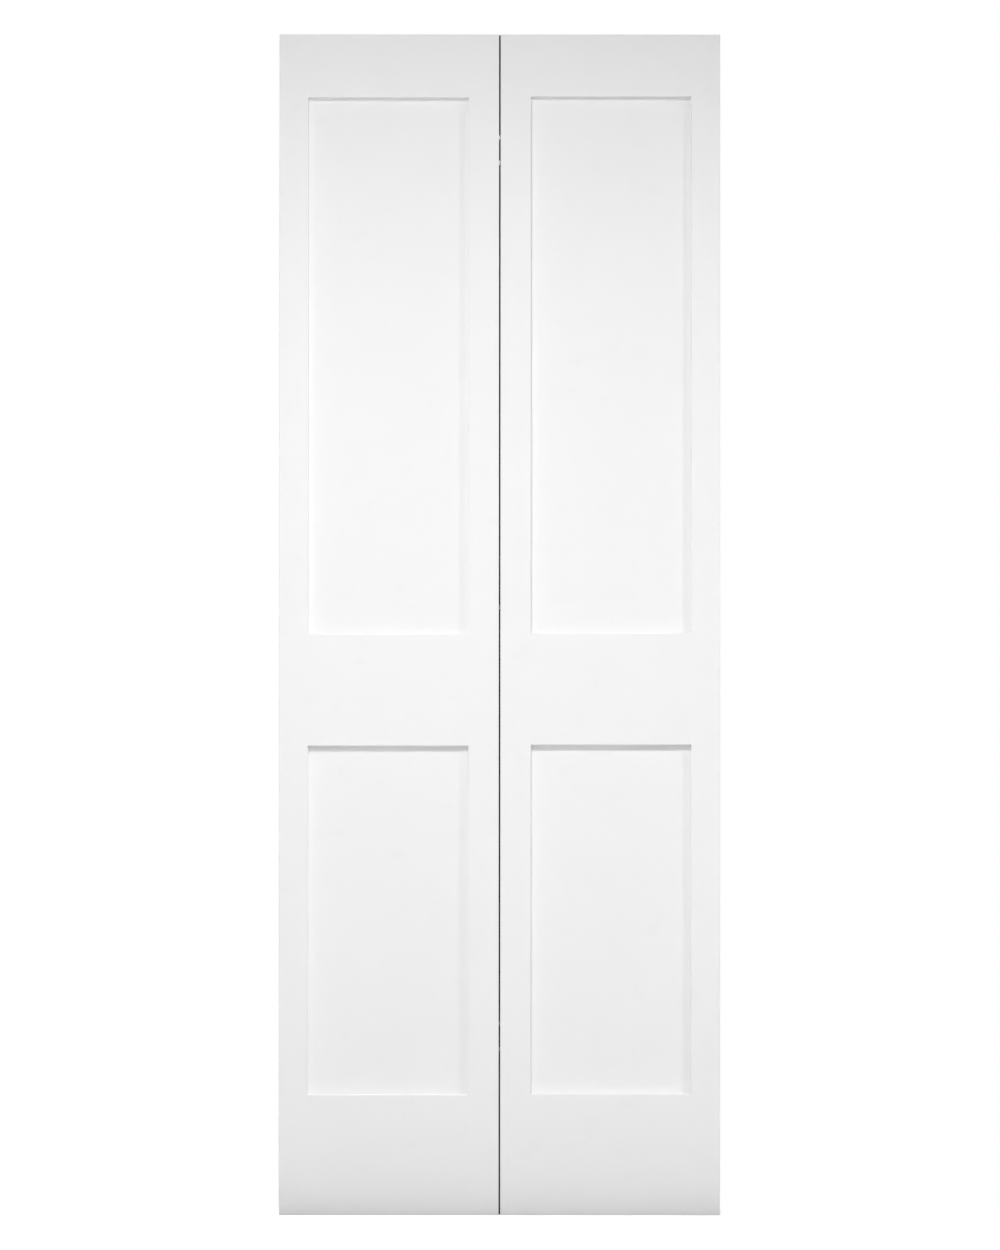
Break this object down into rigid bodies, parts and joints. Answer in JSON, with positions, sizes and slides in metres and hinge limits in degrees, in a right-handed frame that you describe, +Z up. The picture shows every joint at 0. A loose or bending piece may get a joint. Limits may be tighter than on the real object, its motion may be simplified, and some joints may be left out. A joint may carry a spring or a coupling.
{
  "type": "bifold closet door",
  "caption": "Primed flat-panel bifold closet door, shut flat: hinged leaves that fold back to back on a bottom pivot, with a sprung top pivot and a sprung guide pin.",
  "frame": {"origin": "middle of the bottom pivot pin's tip, level with the door's bottom edge", "axes": "+X across the opening from the pivot to the lead edge, +Y into the closet, +Z up"},
  "size_m": [0.7493, 0.0424, 2.0066],
  "materials": {
    "primer": "factory-sprayed white primer on smooth board, low sheen",
    "tenon_timber": "bare beech",
    "hinge_zinc": "dull zinc-plated pressed steel",
    "pin_steel": "bright zinc-plated steel",
    "sleeve_zinc": "zinc-plated steel, satin",
    "nylon": "natural white nylon"
  },
  "bodies": {
    "bottom_pivot": {"bottom_pivot_pin": "pin_steel"},
    "pivot_leaf": {"pivot_leaf_outer_stile": "primer", "pivot_leaf_hinge_stile": "primer", "pivot_leaf_lower_panel": "primer", "pivot_leaf_upper_panel": "primer", "pivot_leaf_bottom_rail": "primer", "pivot_leaf_lock_rail": "primer", "pivot_leaf_top_rail": "primer", "pivot_leaf_bottom_rail_outer_tenon": "tenon_timber", "pivot_leaf_bottom_rail_hinge_tenon": "tenon_timber", "pivot_leaf_lock_rail_outer_tenon": "tenon_timber", "pivot_leaf_lock_rail_hinge_tenon": "tenon_timber", "pivot_leaf_top_rail_outer_tenon": "tenon_timber", "pivot_leaf_top_rail_hinge_tenon": "tenon_timber", "bottom_hinge_outer_plate": "hinge_zinc", "bottom_hinge_outer_upper_screw": "hinge_zinc", "bottom_hinge_outer_lower_screw": "hinge_zinc", "bottom_hinge_pin": "pin_steel", "middle_hinge_outer_plate": "hinge_zinc", "middle_hinge_outer_upper_screw": "hinge_zinc", "middle_hinge_outer_lower_screw": "hinge_zinc", "middle_hinge_pin": "pin_steel", "top_hinge_outer_plate": "hinge_zinc", "top_hinge_outer_upper_screw": "hinge_zinc", "top_hinge_outer_lower_screw": "hinge_zinc", "top_hinge_pin": "pin_steel", "bottom_pivot_sleeve": "nylon", "top_pivot_sleeve": "sleeve_zinc", "top_pivot_spring": "pin_steel"},
    "lead_leaf": {"lead_leaf_outer_stile": "primer", "lead_leaf_hinge_stile": "primer", "lead_leaf_lower_panel": "primer", "lead_leaf_upper_panel": "primer", "lead_leaf_bottom_rail": "primer", "lead_leaf_lock_rail": "primer", "lead_leaf_top_rail": "primer", "lead_leaf_bottom_rail_outer_tenon": "tenon_timber", "lead_leaf_bottom_rail_hinge_tenon": "tenon_timber", "lead_leaf_lock_rail_outer_tenon": "tenon_timber", "lead_leaf_lock_rail_hinge_tenon": "tenon_timber", "lead_leaf_top_rail_outer_tenon": "tenon_timber", "lead_leaf_top_rail_hinge_tenon": "tenon_timber", "bottom_hinge_inner_plate": "hinge_zinc", "bottom_hinge_inner_upper_screw": "hinge_zinc", "bottom_hinge_inner_lower_screw": "hinge_zinc", "middle_hinge_inner_plate": "hinge_zinc", "middle_hinge_inner_upper_screw": "hinge_zinc", "middle_hinge_inner_lower_screw": "hinge_zinc", "top_hinge_inner_plate": "hinge_zinc", "top_hinge_inner_upper_screw": "hinge_zinc", "top_hinge_inner_lower_screw": "hinge_zinc", "guide_sleeve": "sleeve_zinc", "guide_spring": "pin_steel"},
    "top_pivot_pin": {"top_pivot_pin": "pin_steel"},
    "guide_pin": {"guide_pin": "pin_steel", "guide_tip": "nylon"}
  },
  "joints": [
    {"name": "jamb_pivot", "type": "hinge", "parent": "bottom_pivot", "child": "pivot_leaf", "pos_m": [0, 0, 0], "axis": [0, 0, -1], "range_deg": [0, 85]},
    {"name": "leaf_fold", "type": "hinge", "parent": "pivot_leaf", "child": "lead_leaf", "pos_m": [0.35015, 0.02145, 0], "axis": [0, 0, 1], "range_deg": [0, 170]},
    {"name": "top_pin_slide", "type": "slide", "parent": "pivot_leaf", "child": "top_pivot_pin", "axis": [0, 0, 1], "range_m": [0, 0.0127], "stiffness_N_per_m": 350, "springref_m": 0.0177, "deforming": ["top_pivot_spring"]},
    {"name": "guide_pin_slide", "type": "slide", "parent": "lead_leaf", "child": "guide_pin", "axis": [0, 0, 1], "range_m": [0, 0.0127], "stiffness_N_per_m": 350, "springref_m": 0.0177, "deforming": ["guide_spring"]}
  ],
  "couplings": [
    {"joint": "leaf_fold", "follows": "jamb_pivot", "ratio": 2}
  ]
}
